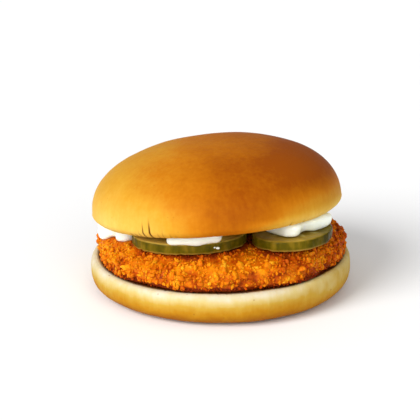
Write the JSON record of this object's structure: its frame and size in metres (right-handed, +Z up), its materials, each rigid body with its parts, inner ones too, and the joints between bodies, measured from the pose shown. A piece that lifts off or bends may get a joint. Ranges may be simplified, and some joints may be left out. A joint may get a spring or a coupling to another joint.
{
  "type": "chicken burger",
  "caption": "Chicken burger: round soft bun, breaded chicken patty, slices of pickle and mayonnaise, with the top of the bun tipped back.",
  "frame": {"origin": "on the table under the middle of the bun", "axes": "+Z up; +X towards the right-hand side; -Y towards the front, where the pickles hold the top of the bun open"},
  "size_m": [0.1009, 0.1004, 0.059],
  "materials": {
    "heel_bread": "soft baked bread, pale at the top edge and browned at the foot",
    "breading": "rough fried crumb, slightly oily",
    "pickle": "wet, slightly see-through",
    "mayonnaise": "glossy cream",
    "crown_bread": "smooth baked crust with a faint sheen"
  },
  "bodies": {
    "root": {"heel": "heel_bread", "patty": "breading", "pickle_left": "pickle", "pickle_right": "pickle", "mayonnaise": "mayonnaise", "crown": "crown_bread"}
  },
  "joints": []
}
